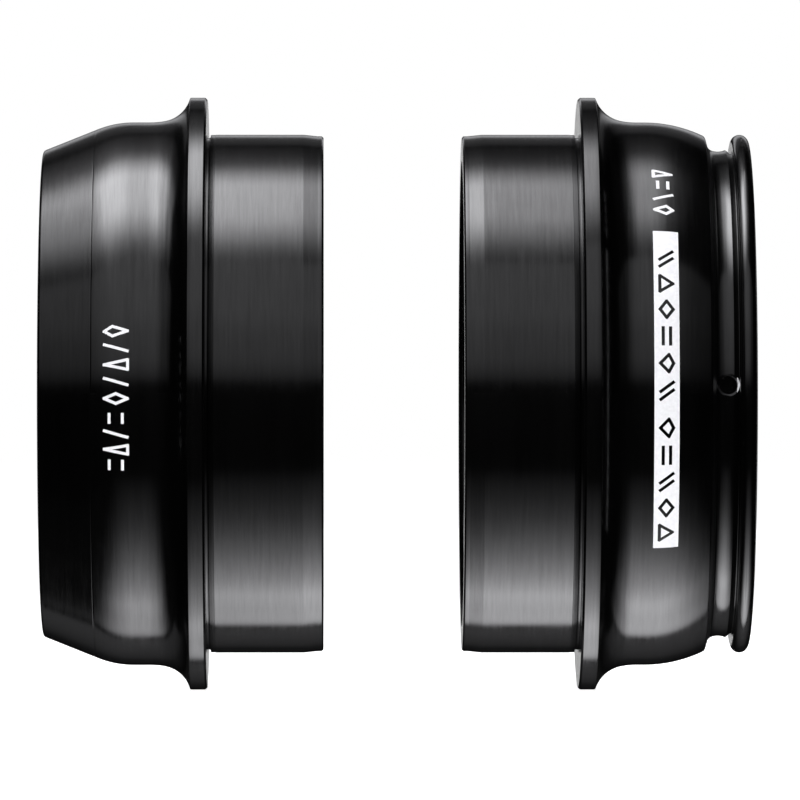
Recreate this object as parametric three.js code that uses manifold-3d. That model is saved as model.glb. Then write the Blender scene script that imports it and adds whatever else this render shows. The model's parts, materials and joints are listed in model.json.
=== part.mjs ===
// A press-fit bicycle bottom bracket: two flanged aluminium cups that press into the two ends of a
// frame's 42 mm shell, a 25 x 37 x 6 mm sealed ball bearing in each, a wave washer behind the left
// bearing, and a wire clip that keeps the right bearing in its cup.
//
// Millimetres. +X runs along the crank axis towards the right (chain) side, +Y towards the front of
// the bicycle and +Z up. The origin is on the crank axis, midway between the two flanges.
//
// Both cups are described in (u, r): u is the distance outboard of the middle plane and r the
// distance from the crank axis. The right side has x = u and the left side has x = -u.

import * as THREE from "three";
import { mergeVertices } from "three/addons/utils/BufferGeometryUtils.js";
import Module from "manifold-3d";

const LEFT = -1;
const RIGHT = 1;

// Spigot and flange, the same on both cups.
const FLANGE_FACE_U = 15.0;
const SPIGOT_R = 21.0;
const SPIGOT_LENGTH = 9.4;
const LEAD_IN_LENGTH = 1.6;
const LEAD_IN_DROP = 0.12;
const FLANGE_R = 24.0;
const FLANGE_THICKNESS = 1.4;
const FLANGE_CHAMFER = 0.18;

// Body outboard of the flange.
const CREST_R = 22.0;
const LEFT_NECK_FILLET_R = 2.8;
const RIGHT_NECK_FILLET_R = 2.95;
const LEFT_CREST_END_U = 21.0;
const LEFT_SHOULDER_R = 7.8;
const LEFT_TAPER_DEG = 21.8;
const LEFT_END_U = 28.3;
const LEFT_EDGE_R = 0.35;
const RIGHT_CREST_END_U = 20.4;
const RIGHT_SHOULDER_R = 11.0;
const RIGHT_SHOULDER_END_U = 25.05;
const RIGHT_SHOULDER_BEVEL = 0.25;

// Clip groove and end bead of the right cup.
const GROOVE_START_U = 25.54;
const GROOVE_FLOOR = { u: 26.15, r: 19.62 };
const GROOVE_ARC_R = 1.75;
const BEAD_FACE_U = 27.4;
const BEAD_R = 0.7;
const BEAD_CREST_R = 21.0;
const CROSS_HOLE_R = 0.9;
const CROSS_HOLE_U = 26.5;
const CROSS_HOLE_FIRST_DEG = 2;
const CROSS_HOLE_COUNT = 3;

// Inside of the cups.
const BEARING_SEAT_R = 18.55;
const MOUTH_CHAMFER = 0.4;
const STOP_U = 19.5;
const STOP_WIDTH = 1.5;
const STOP_R = 16.6;
const SPIGOT_BORE_R = 18.6;

// Bearing, described in (v, r) with v measured along the axis from the bearing's middle.
const BEARING_HALF_WIDTH = 3.0;
const BEARING_OUTER_R = 18.5;
const BEARING_BORE_R = 12.5;
const PITCH_R = 15.5;
const BALL_R = 3.175 / 2;
const BALL_COUNT = 15;
const RACEWAY_R = 1.7;
const OUTER_LAND_R = 16.55;
const INNER_LAND_R = 14.45;
const SEAL_SEAT_R = 17.0;
const SEAL_SEAT_DEPTH = 0.9;
const SEAL_THICKNESS = 0.65;
const SEAL_RECESS = 0.15;
const SEAL_LIP_R = 14.62;
const SEAL_RIM_R = SEAL_SEAT_R - 0.05;
const RING_CHAMFER = 0.3;
const CAGE_INNER_R = 14.75;
const CAGE_OUTER_R = 16.25;
const CAGE_BACK_V = 2.0;
const CAGE_FRONT_V = -0.85;
const CAGE_POCKET_R = 1.8;
const LEFT_BEARING_U = 24.25;
const RIGHT_BEARING_U = 22.55;

// Wave washer between the left cup's stop and its bearing.
const WASHER_INNER_R = 16.2;
const WASHER_OUTER_R = 18.3;
const WASHER_THICKNESS = 0.4;
const WASHER_WAVE = 0.6;
const WASHER_WAVES = 3;
const WASHER_U = 20.4;

// Wire clip that lies in the right cup's groove and reaches through two of its holes.
const WIRE_R = 0.7;
const CLIP_ARC_R = 20.42;
const CLIP_BEND_R = 1.2;
const CLIP_TIP_R = 17.1;

// Facets round the axis.
const CUP_SIDES = 40;
const CUP_ARC_STEPS = 4;
const SMALL_ARC_STEPS = 2;
const BEAD_STEPS = 6;
const RACEWAY_STEPS = 5;
const BALL_DETAIL = 1;
const RING_SIDES = 40;
const SEAL_SIDES = 36;
const CAGE_SIDES = 45;
const POCKET_SIDES = 8;
const HOLE_SIDES = 12;
const WIRE_SIDES = 8;
const WIRE_STEPS = 44;
const CLIP_ARC_STEPS = 20;
const CLIP_BEND_STEPS = 4;

// Points closer together than this become one.
const MERGE_DISTANCE = 1e-4;

const wasm = await Module();
wasm.setup();

const radians = THREE.MathUtils.degToRad;
const point = (u, r) => new THREE.Vector2(u, r);

// Points of a circular arc in the (u, r) plane, angles in degrees from +u towards +r.
function arc(centre, radius, fromDeg, toDeg, steps) {
  return Array.from({ length: steps + 1 }, (_, i) => {
    const angle = radians(fromDeg + ((toDeg - fromDeg) * i) / steps);
    return point(centre.u + radius * Math.cos(angle), centre.r + radius * Math.sin(angle));
  });
}

// Turns a closed (u, r) outline about the crank axis. The outline runs from inboard to outboard
// along its outside and back along its inside, so that its faces point out on the right side.
function revolve(outline, side, sides) {
  const profile = outline.map((p) => new THREE.Vector2(p.y, side * p.x));
  if (side === LEFT) profile.reverse();
  profile.push(profile[0].clone());
  return new THREE.LatheGeometry(profile, sides).rotateZ(-Math.PI / 2);
}

function toSolid(geometry) {
  const bare = geometry.index ? geometry.toNonIndexed() : geometry.clone();
  bare.deleteAttribute("normal");
  bare.deleteAttribute("uv");
  const merged = mergeVertices(bare, MERGE_DISTANCE);
  return new wasm.Manifold(
    new wasm.Mesh({
      numProp: 3,
      vertProperties: merged.attributes.position.array,
      triVerts: new Uint32Array(merged.index.array),
    }),
  );
}

function toGeometry(solid) {
  const mesh = solid.getMesh();
  return new THREE.BufferGeometry()
    .setAttribute("position", new THREE.BufferAttribute(mesh.vertProperties, 3))
    .setIndex(new THREE.BufferAttribute(mesh.triVerts, 1));
}

function cut(geometry, tools) {
  return toGeometry(tools.reduce((solid, tool) => solid.subtract(toSolid(tool)), toSolid(geometry)));
}

// Direction away from the crank axis. 0 degrees is towards the back of the bicycle (-Y), and the
// angle grows upwards.
function radialDirection(degrees) {
  const angle = radians(degrees);
  return new THREE.Vector3(0, -Math.cos(angle), Math.sin(angle));
}

const blackAnodised = new THREE.MeshStandardMaterial({ color: 0x17171a, roughness: 0.35, metalness: 0.9 });
const bearingSteel = new THREE.MeshStandardMaterial({ color: 0xc4c6c9, roughness: 0.2, metalness: 1.0 });
const ballSteel = new THREE.MeshStandardMaterial({ color: 0xd8dadd, roughness: 0.08, metalness: 1.0 });
const springSteel = new THREE.MeshStandardMaterial({ color: 0x8d9094, roughness: 0.3, metalness: 1.0 });
const sealRubber = new THREE.MeshStandardMaterial({ color: 0x1b1b1c, roughness: 0.75, metalness: 0.0 });
const cageNylon = new THREE.MeshStandardMaterial({ color: 0x3a3a3c, roughness: 0.6, metalness: 0.0 });

const bottomBracket = new THREE.Group();

function add(name, geometry, material, parent = bottomBracket) {
  const mesh = new THREE.Mesh(geometry, material);
  mesh.name = name;
  parent.add(mesh);
  return mesh;
}

// --- Cups -------------------------------------------------------------------------------------

function spigotAndFlangeOutline(neckFilletR) {
  const spigotEndU = FLANGE_FACE_U - SPIGOT_LENGTH;
  const flangeBackU = FLANGE_FACE_U + FLANGE_THICKNESS;
  const rise = CREST_R + neckFilletR - FLANGE_R;
  const filletCentre = {
    u: flangeBackU + Math.sqrt(neckFilletR ** 2 - rise ** 2),
    r: CREST_R + neckFilletR,
  };
  const cornerDeg = 180 + THREE.MathUtils.radToDeg(Math.asin(rise / neckFilletR));
  return [
    point(spigotEndU, SPIGOT_R - LEAD_IN_DROP),
    point(spigotEndU + LEAD_IN_LENGTH, SPIGOT_R),
    point(FLANGE_FACE_U, SPIGOT_R),
    point(FLANGE_FACE_U, FLANGE_R - FLANGE_CHAMFER),
    point(FLANGE_FACE_U + FLANGE_CHAMFER, FLANGE_R),
    ...arc(filletCentre, neckFilletR, cornerDeg, 270, CUP_ARC_STEPS),
  ];
}

function insideOutline(endU) {
  const spigotEndU = FLANGE_FACE_U - SPIGOT_LENGTH;
  const stopBackU = STOP_U - STOP_WIDTH;
  return [
    point(endU, BEARING_SEAT_R + MOUTH_CHAMFER),
    point(endU - MOUTH_CHAMFER, BEARING_SEAT_R),
    point(STOP_U, BEARING_SEAT_R),
    point(STOP_U, STOP_R),
    point(stopBackU, STOP_R),
    point(stopBackU - (SPIGOT_BORE_R - STOP_R), SPIGOT_BORE_R),
    point(spigotEndU, SPIGOT_BORE_R),
  ];
}

// A large-radius shoulder that runs down from the crest into a straight taper.
function leftCupOutline() {
  const shoulderCentre = { u: LEFT_CREST_END_U, r: CREST_R - LEFT_SHOULDER_R };
  const shoulder = arc(shoulderCentre, LEFT_SHOULDER_R, 90, 90 - LEFT_TAPER_DEG, CUP_ARC_STEPS);
  const taperStart = shoulder.at(-1);
  const edgeU = LEFT_END_U - LEFT_EDGE_R;
  const taperR = taperStart.y - Math.tan(radians(LEFT_TAPER_DEG)) * (edgeU - taperStart.x);
  const edgeCentre = { u: edgeU, r: taperR - LEFT_EDGE_R / Math.cos(radians(LEFT_TAPER_DEG)) };
  const edge = arc(edgeCentre, LEFT_EDGE_R, 90 - LEFT_TAPER_DEG, 0, SMALL_ARC_STEPS);
  return [
    ...spigotAndFlangeOutline(LEFT_NECK_FILLET_R),
    ...shoulder,
    ...edge,
    ...insideOutline(LEFT_END_U),
  ];
}

// A shoulder that drops steeply into the clip groove, and a bead with a flat inboard face.
function rightCupOutline() {
  const shoulderCentre = { u: RIGHT_CREST_END_U, r: CREST_R - RIGHT_SHOULDER_R };
  const shoulderRise = (RIGHT_SHOULDER_END_U - RIGHT_CREST_END_U) / RIGHT_SHOULDER_R;
  const shoulderEndDeg = THREE.MathUtils.radToDeg(Math.acos(shoulderRise));
  const shoulder = arc(shoulderCentre, RIGHT_SHOULDER_R, 90, shoulderEndDeg, CUP_ARC_STEPS);
  const bevel = point(
    RIGHT_SHOULDER_END_U + RIGHT_SHOULDER_BEVEL,
    shoulder.at(-1).y - RIGHT_SHOULDER_BEVEL,
  );
  const grooveCentre = { u: GROOVE_FLOOR.u, r: GROOVE_FLOOR.r + GROOVE_ARC_R };
  const grooveDeg = (u) => -THREE.MathUtils.radToDeg(Math.acos((u - grooveCentre.u) / GROOVE_ARC_R));
  const grooveStartDeg = grooveDeg(GROOVE_START_U);
  const groove = arc(grooveCentre, GROOVE_ARC_R, grooveStartDeg, grooveDeg(BEAD_FACE_U), CUP_ARC_STEPS);
  const beadCentre = { u: BEAD_FACE_U + BEAD_R, r: BEAD_CREST_R - BEAD_R };
  const bead = arc(beadCentre, BEAD_R, 180, 0, BEAD_STEPS);
  return [
    ...spigotAndFlangeOutline(RIGHT_NECK_FILLET_R),
    ...shoulder,
    bevel,
    ...groove,
    ...bead,
    ...insideOutline(BEAD_FACE_U + 2 * BEAD_R),
  ];
}

// A cylinder that points away from the crank axis, from radius innerR to radius outerR.
function radialCylinder(radius, innerR, outerR, degrees, sides) {
  const up = new THREE.Vector3(0, 1, 0);
  return new THREE.CylinderGeometry(radius, radius, outerR - innerR, sides)
    .translate(0, (innerR + outerR) / 2, 0)
    .applyQuaternion(new THREE.Quaternion().setFromUnitVectors(up, radialDirection(degrees)));
}

function crossHole(degrees) {
  const hole = radialCylinder(CROSS_HOLE_R, STOP_R, FLANGE_R, degrees, HOLE_SIDES);
  return hole.translate(CROSS_HOLE_U, 0, 0);
}

const crossHoleDegrees = Array.from(
  { length: CROSS_HOLE_COUNT },
  (_, i) => CROSS_HOLE_FIRST_DEG + (i * 360) / CROSS_HOLE_COUNT,
);

add("left_cup", revolve(leftCupOutline(), LEFT, CUP_SIDES), blackAnodised);
add(
  "right_cup",
  cut(revolve(rightCupOutline(), RIGHT, CUP_SIDES), crossHoleDegrees.map(crossHole)),
  blackAnodised,
);

// --- Bearings ---------------------------------------------------------------------------------

function outerRing() {
  const w = BEARING_HALF_WIDTH;
  const landV = Math.sqrt(RACEWAY_R ** 2 - (OUTER_LAND_R - PITCH_R) ** 2);
  const edgeDeg = THREE.MathUtils.radToDeg(Math.atan2(OUTER_LAND_R - PITCH_R, landV));
  const seatV = w - SEAL_SEAT_DEPTH;
  return revolve(
    [
      point(-w, BEARING_OUTER_R - RING_CHAMFER),
      point(-w + RING_CHAMFER, BEARING_OUTER_R),
      point(w - RING_CHAMFER, BEARING_OUTER_R),
      point(w, BEARING_OUTER_R - RING_CHAMFER),
      point(w, SEAL_SEAT_R),
      point(seatV, SEAL_SEAT_R),
      point(seatV, OUTER_LAND_R),
      ...arc({ u: 0, r: PITCH_R }, RACEWAY_R, edgeDeg, 180 - edgeDeg, RACEWAY_STEPS),
      point(-seatV, OUTER_LAND_R),
      point(-seatV, SEAL_SEAT_R),
      point(-w, SEAL_SEAT_R),
    ],
    RIGHT,
    RING_SIDES,
  );
}

function innerRing() {
  const w = BEARING_HALF_WIDTH;
  const landV = Math.sqrt(RACEWAY_R ** 2 - (PITCH_R - INNER_LAND_R) ** 2);
  const edgeDeg = THREE.MathUtils.radToDeg(Math.atan2(INNER_LAND_R - PITCH_R, -landV));
  return revolve(
    [
      point(-w, INNER_LAND_R),
      ...arc({ u: 0, r: PITCH_R }, RACEWAY_R, edgeDeg, -180 - edgeDeg, RACEWAY_STEPS),
      point(w, INNER_LAND_R),
      point(w, BEARING_BORE_R + RING_CHAMFER),
      point(w - RING_CHAMFER, BEARING_BORE_R),
      point(-w + RING_CHAMFER, BEARING_BORE_R),
      point(-w, BEARING_BORE_R + RING_CHAMFER),
    ],
    RIGHT,
    RING_SIDES,
  );
}

// A seal disc whose outer face looks along outward, +1 or -1 along the axis.
function seal(outward) {
  const outerV = BEARING_HALF_WIDTH - SEAL_RECESS;
  const innerV = outerV - SEAL_THICKNESS;
  const outline = [
    point(innerV, SEAL_RIM_R),
    point(outerV, SEAL_RIM_R),
    point(outerV, SEAL_LIP_R),
    point(innerV, SEAL_LIP_R),
  ];
  return revolve(outline, outward, SEAL_SIDES);
}

// A crown cage: a ring behind the balls, with fingers that reach between them.
function cage() {
  const blank = revolve(
    [
      point(CAGE_FRONT_V, CAGE_OUTER_R),
      point(CAGE_BACK_V, CAGE_OUTER_R),
      point(CAGE_BACK_V, CAGE_INNER_R),
      point(CAGE_FRONT_V, CAGE_INNER_R),
    ],
    RIGHT,
    CAGE_SIDES,
  );
  const pockets = ballDegrees.map((degrees) =>
    radialCylinder(CAGE_POCKET_R, INNER_LAND_R, OUTER_LAND_R, degrees, POCKET_SIDES),
  );
  return cut(blank, pockets);
}

const ballDegrees = Array.from({ length: BALL_COUNT }, (_, i) => (i * 360) / BALL_COUNT);

function addBearing(sideName, side, middleU) {
  const bearing = new THREE.Group();
  bearing.position.x = side * middleU;
  bottomBracket.add(bearing);
  add(`${sideName}_bearing_outer_ring`, outerRing(), bearingSteel, bearing);
  add(`${sideName}_bearing_inner_ring`, innerRing(), bearingSteel, bearing);
  add(`${sideName}_bearing_outboard_seal`, seal(side), sealRubber, bearing);
  add(`${sideName}_bearing_inboard_seal`, seal(-side), sealRubber, bearing);
  add(`${sideName}_bearing_cage`, cage(), cageNylon, bearing);
  ballDegrees.forEach((degrees, i) => {
    const ballName = `${sideName}_bearing_ball_${String(i + 1).padStart(2, "0")}`;
    const ball = add(ballName, new THREE.IcosahedronGeometry(BALL_R, BALL_DETAIL), ballSteel, bearing);
    ball.position.copy(radialDirection(degrees).multiplyScalar(PITCH_R));
  });
}

addBearing("left", LEFT, LEFT_BEARING_U);
addBearing("right", RIGHT, RIGHT_BEARING_U);

// --- Wave washer ------------------------------------------------------------------------------

function waveWasher() {
  const half = WASHER_THICKNESS / 2;
  const flat = revolve(
    [
      point(-half, WASHER_OUTER_R),
      point(half, WASHER_OUTER_R),
      point(half, WASHER_INNER_R),
      point(-half, WASHER_INNER_R),
    ],
    RIGHT,
    SEAL_SIDES,
  );
  const position = flat.attributes.position;
  for (let i = 0; i < position.count; i++) {
    const angle = Math.atan2(position.getZ(i), position.getY(i));
    position.setX(i, position.getX(i) + WASHER_WAVE * Math.cos(WASHER_WAVES * angle));
  }
  return flat;
}

add("wave_washer", waveWasher(), springSteel).position.x = -WASHER_U;

// --- Retaining clip ---------------------------------------------------------------------------

// The wire's centreline: down one leg's hole, round the back of the groove and into the next hole.
function clipCentreline(firstHoleDeg, lastHoleDeg) {
  const bendTurnDeg = THREE.MathUtils.radToDeg(Math.asin(CLIP_BEND_R / CLIP_ARC_R));
  const at = (degrees, r) => radialDirection(degrees).multiplyScalar(r);
  const bend = (holeDeg, turn) => {
    const out = at(holeDeg, 1);
    const along = at(holeDeg + 90 * turn, 1);
    const centre = at(holeDeg, CLIP_ARC_R - CLIP_BEND_R).addScaledVector(along, CLIP_BEND_R);
    return Array.from({ length: CLIP_BEND_STEPS + 1 }, (_, i) => {
      const angle = radians((i * 90) / CLIP_BEND_STEPS);
      return centre
        .clone()
        .addScaledVector(along, -CLIP_BEND_R * Math.cos(angle))
        .addScaledVector(out, CLIP_BEND_R * Math.sin(angle));
    });
  };
  const from = firstHoleDeg + 2 * bendTurnDeg;
  const to = lastHoleDeg - 2 * bendTurnDeg;
  const round = Array.from({ length: CLIP_ARC_STEPS + 1 }, (_, i) =>
    at(from + ((to - from) * i) / CLIP_ARC_STEPS, CLIP_ARC_R),
  );
  return [
    at(firstHoleDeg, CLIP_TIP_R),
    ...bend(firstHoleDeg, 1),
    ...round,
    ...bend(lastHoleDeg, -1).reverse(),
    at(lastHoleDeg, CLIP_TIP_R),
  ];
}

function retainingClip() {
  const section = new THREE.Shape().absarc(0, 0, WIRE_R, 0, 2 * Math.PI);
  const path = new THREE.CatmullRomCurve3(clipCentreline(crossHoleDegrees[1], crossHoleDegrees[2]));
  return new THREE.ExtrudeGeometry(section, {
    curveSegments: WIRE_SIDES / 2,
    steps: WIRE_STEPS,
    extrudePath: path,
  });
}

add("retaining_clip", retainingClip(), springSteel).position.x = CROSS_HOLE_U;

export default bottomBracket;
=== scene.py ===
"""The finished look of a press-fit bicycle bottom bracket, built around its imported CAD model.

Every CAD node is replaced by a smooth piece with rounded edges and its own surface finish. The
pieces are in metres, in the CAD model's frame: +X runs along the crank axis towards the right side
and +Z is up. Turned shapes are outlines in (u, r): u is the distance outboard of the middle plane
and r the distance from the crank axis. The right side has x = u and the left side has x = -u.
"""

import json
import math

import bmesh
import bpy
from mathutils import Matrix, Vector
from mathutils.geometry import delaunay_2d_cdt


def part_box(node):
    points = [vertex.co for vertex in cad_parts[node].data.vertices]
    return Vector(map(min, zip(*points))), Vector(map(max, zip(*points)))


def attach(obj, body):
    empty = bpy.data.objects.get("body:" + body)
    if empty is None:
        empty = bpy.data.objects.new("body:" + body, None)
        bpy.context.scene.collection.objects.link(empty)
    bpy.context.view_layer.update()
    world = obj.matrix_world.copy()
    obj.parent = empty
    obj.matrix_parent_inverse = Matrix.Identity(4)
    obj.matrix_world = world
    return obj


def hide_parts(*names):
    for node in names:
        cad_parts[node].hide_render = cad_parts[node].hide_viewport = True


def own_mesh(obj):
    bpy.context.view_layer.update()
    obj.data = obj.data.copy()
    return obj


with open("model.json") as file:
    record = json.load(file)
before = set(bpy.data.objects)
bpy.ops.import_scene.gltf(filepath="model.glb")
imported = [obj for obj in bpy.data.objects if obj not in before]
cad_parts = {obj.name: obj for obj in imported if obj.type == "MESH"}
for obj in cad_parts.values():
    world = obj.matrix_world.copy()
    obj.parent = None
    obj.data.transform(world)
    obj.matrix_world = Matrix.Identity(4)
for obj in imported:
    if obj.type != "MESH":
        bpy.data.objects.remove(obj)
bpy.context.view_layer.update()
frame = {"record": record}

MM = 0.001
LEFT = -1
RIGHT = 1
SIDE_NAMES = {LEFT: "left", RIGHT: "right"}
AXIS = Vector((1, 0, 0))

# Fineness of the meshes.
TURNED_STEPS = 256
RING_STEPS = 192
CAGE_STEPS = 180
HOLE_SIDES = 48
RACE_STEPS = 16
GROOVE_ARC_STEPS = 14
WIRE_SIDES = 20
WIRE_DOME_STEPS = 5
CLIP_BEND_STEPS = 10
CLIP_ARC_STEPS = 72
BALL_SUBDIVISIONS = 3
POCKET_SUBDIVISIONS = 4
CORNER_ERROR = 0.002 * MM
NO_LENGTH = 1e-9
SHARP_DEG = 32.0
CUP_SHARP_DEG = 22.0

# Edge and corner roundings that many outlines share, from crisp to soft.
CRISP_EDGE_R = 0.02 * MM
FINE_EDGE_R = 0.03 * MM
UNDERCUT_EDGE_R = 0.04 * MM
EDGE_R = 0.05 * MM
SOFT_EDGE_R = 0.08 * MM

# Cup sizes, from the CAD model where its boxes and mounts give them.
MOUNTS = {mount["name"]: Vector(mount["pos_m"]) for mount in frame["record"]["mounts"]}
FLANGE_FACE_U = MOUNTS["right_shell_face"].x
FLANGE_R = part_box("left_cup")[1].z
SPIGOT_END_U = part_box("right_cup")[0].x
LEFT_END_U = -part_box("left_cup")[0].x
RIGHT_END_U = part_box("right_cup")[1].x
SPIGOT_R = 21.0 * MM
SPIGOT_END_CHAMFER = 0.14 * MM
LEAD_IN_LAND = 0.45 * MM
LEAD_IN_LENGTH = 1.6 * MM
LEAD_IN_DROP = 0.12 * MM
LEAD_IN_FOOT_R = 0.5 * MM
LEAD_IN_TOP_R = 1.0 * MM
RELIEF_WIDTH = 0.66 * MM
RELIEF_DEPTH = 0.02 * MM
ROOT_WIDTH = 0.28 * MM
ROOT_DEPTH = 0.25 * MM
ROOT_WALL_RUN = 0.05 * MM
FLANGE_THICKNESS = 1.4 * MM
FLANGE_CHAMFER = 0.18 * MM
FLANGE_RIM_R = 0.13 * MM
CREST_R = 22.0 * MM
NECK_FILLET_R = {LEFT: 2.75 * MM, RIGHT: 2.95 * MM}
RUN_OUT_R = 6.0 * MM
RUN_OUT = math.radians(10.0)
LEFT_CREST_END_U = FLANGE_FACE_U + 6.0 * MM
LEFT_SHOULDER_R = 7.8 * MM
LEFT_TAPER = math.radians(21.8)
LEFT_EDGE_R = 0.35 * MM
TURNED_LINE_U = FLANGE_FACE_U + 9.05 * MM
TURNED_LINE_WIDTH = 0.06 * MM
TURNED_LINE_DEPTH = 0.012 * MM
RIGHT_CREST_END_U = FLANGE_FACE_U + 5.4 * MM
RIGHT_SHOULDER_R = 11.0 * MM
RIGHT_SHOULDER_TURN = math.radians(25.0)
GROOVE_WALL_TOP_U = FLANGE_FACE_U + 10.24 * MM
GROOVE_WALL_TOP_EDGE_R = 0.3 * MM
GROOVE_WALL_FOOT_U = FLANGE_FACE_U + 10.55 * MM
GROOVE_FLOOR_U = FLANGE_FACE_U + 11.35 * MM
GROOVE_FLOOR_R = 19.64 * MM
GROOVE_FLOOR_SLOPE = math.radians(12.0)
GROOVE_FOOT_FILLET_R = 0.7 * MM
GROOVE_ARC_R = 1.5 * MM
GROOVE_LIP_U = FLANGE_FACE_U + 11.95 * MM
BEAD_SLOT_R = 19.4 * MM
BEAD_R = 0.7 * MM
BEAD_CREST_R = 21.0 * MM
CROSS_HOLE_R = 0.74 * MM
CROSS_HOLE_MOUTH_R = 0.9 * MM
CROSS_HOLE_FLARE_DEPTH = 0.07 * MM
CROSS_HOLE_U = FLANGE_FACE_U + 11.5 * MM
CROSS_HOLE_DEGREES = (2.0, 122.0, 242.0)
CUTTER_MARGIN = 0.5 * MM

# Inside of the cups.
SEAT_R = 18.55 * MM
MOUTH_CHAMFER = 0.4 * MM
STOP_U = FLANGE_FACE_U + 4.5 * MM
STOP_WIDTH = 1.5 * MM
STOP_R = 16.6 * MM
STOP_RELIEF = 0.2 * MM
STOP_FRONT_EDGE_R = 0.15 * MM
STOP_BACK_EDGE_R = 0.25 * MM
SPIGOT_BORE_R = 18.6 * MM
SPIGOT_BORE_FILLET_R = 0.5 * MM
SPIGOT_BORE_CHAMFER = 0.35 * MM

# Bearings. v is the distance along the axis from a bearing's middle.
PITCH_R = 15.5 * MM
BALL_R = 3.175 / 2 * MM
BALL_COUNT = 15
RACEWAY_R = 1.68 * MM
RING_CHAMFER = 0.3 * MM
OUTER_LAND_R = 16.55 * MM
INNER_LAND_R = 14.45 * MM
INNER_STEP_LENGTH = 0.75 * MM
INNER_STEP_DEPTH = 0.25 * MM
INNER_FACE_EDGE_R = 0.12 * MM
BORE_R = 12.5 * MM
SEAL_SEAT_R = 17.0 * MM
SEAL_SEAT_DEPTH = 0.9 * MM
SEAL_GAP = 0.04 * MM
SEAL_THICKNESS = 0.62 * MM
SEAL_RECESS = 0.16 * MM
SEAL_GROOVE_DEPTH = 0.16 * MM
SEAL_LIP_R = 14.52 * MM
SEAL_RIB_R = 0.1 * MM
CAGE_INNER_R = 14.8 * MM
CAGE_OUTER_R = 16.2 * MM
CAGE_BACK_V = 2.0 * MM
CAGE_FRONT_V = -0.8 * MM
CAGE_BACK_EDGE_R = 0.2 * MM
CAGE_FRONT_EDGE_R = 0.12 * MM
CAGE_POCKET_R = 1.68 * MM

# Wave washer and retaining clip.
WASHER_INNER_R = 16.25 * MM
WASHER_OUTER_R = 18.3 * MM
WASHER_THICKNESS = 0.38 * MM
WASHER_EDGE_R = 0.12 * MM
WASHER_WAVE = 0.6 * MM
WASHER_WAVES = 3
WIRE_R = 0.7 * MM
CLIP_ARC_R = 20.42 * MM
CLIP_BEND_R = 1.2 * MM
CLIP_TIP_R = 17.1 * MM

# Printed marks: arc length round the cup from its front, and u along it.
INK_HEIGHT = 0.012 * MM
INK_SINK = 0.02 * MM
INK_CELL = 0.3 * MM
MERGE_DISTANCE = 1e-9
FIGURE_SHARE = 0.75
STROKE_OVERLAP = 0.7
LEFT_STROKE = 0.23 * MM
RIGHT_STROKE = 0.26 * MM
LEFT_MARKS_U = (20.95 * MM, 23.05 * MM)
RIGHT_MARKS_U = (20.6 * MM, 22.3 * MM)
PANEL_ARC = (-13.0 * MM, 13.8 * MM)
PANEL_U = (20.55 * MM, 22.55 * MM)
PANEL_FIGURES_U = (20.9 * MM, 22.2 * MM)

# Surface zones of the cups, and the painted highlight at the front cross hole.
WALL_ZONE_BLUR = 0.05 * MM
RELIEF_ZONE = (FLANGE_FACE_U - RELIEF_WIDTH, FLANGE_FACE_U - 0.01 * MM)
FILLET_ZONE = (FLANGE_FACE_U + FLANGE_THICKNESS + 0.1 * MM, FLANGE_FACE_U + 3.4 * MM)
FILLET_ZONE_BLUR = 0.5 * MM
# Where the painted highlight on the front cross hole's countersink starts along the axis, and how far past
# the hole's mouth it reaches.
GLINT_PAINT_FROM = 0.67 * MM
GLINT_PAINT_MARGIN = 0.005 * MM

# Light and camera.
CARD_R = 0.3
CARD_COLOR = (0.97, 0.97, 1.0, 1)
CARD_ROWS = 90
CARD_COLUMNS = 60
END_CARD_X = 1.4
FILL_Y = -0.7
REAR_CARD_Y = 1.0
SIDE_CARD_REACH = 0.65
FLOOR_REACH = 3.0
WORLD_REFLECTION = 0.009
CAMERA_DISTANCE = 0.82
CAMERA_TARGET = Vector((0.6 * MM, 0, -0.51 * MM))
CAMERA_SIDESTEP = -5.6 * MM
VIEW_WIDTH = 64.91 * MM
SENSOR_WIDTH_MM = 36.0
WHITE = (1, 1, 1, 1)


# --- Outlines -------------------------------------------------------------------------------------


def rounded(corners):
    """The points of a closed outline of (u, r, corner radius), with each corner rounded.

    Where two roundings do not fit on the side between them, both are made smaller.
    """
    count = len(corners)
    places = [Vector(corner[:2]) for corner in corners]
    sides = [places[(i + 1) % count] - places[i] for i in range(count)]
    turns = [sides[i - 1].angle(sides[i]) for i in range(count)]
    reaches = [corner[2] * math.tan(turn / 2) for corner, turn in zip(corners, turns)]
    fits = [
        min(1.0, side.length / max(reaches[i] + reaches[(i + 1) % count], NO_LENGTH))
        for i, side in enumerate(sides)
    ]
    points = []
    for i, (place, turn) in enumerate(zip(places, turns)):
        reach = reaches[i] * min(fits[i - 1], fits[i])
        if reach < NO_LENGTH:
            points.append(place)
            continue
        radius = reach / math.tan(turn / 2)
        start = place - sides[i - 1].normalized() * reach
        end = place + sides[i].normalized() * reach
        middle = (start + end) / 2 - place
        centre = place + middle.normalized() * math.hypot(reach, radius)
        steps = max(2, math.ceil(turn / (2 * math.acos(1 - min(1.0, CORNER_ERROR / radius)))))
        for k in range(steps + 1):
            swing = math.sin((1 - k / steps) * turn) * (start - centre)
            swing += math.sin(k / steps * turn) * (end - centre)
            points.append(centre + swing / math.sin(turn))
    return points


def radius_at(outline, u):
    """The outline's largest radius at u."""
    crossings = []
    for a, b in zip(outline, outline[1:] + outline[:1]):
        if min(a.x, b.x) <= u <= max(a.x, b.x) and a.x != b.x:
            crossings.append(a.y + (b.y - a.y) * (u - a.x) / (b.x - a.x))
    return max(crossings)


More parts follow.
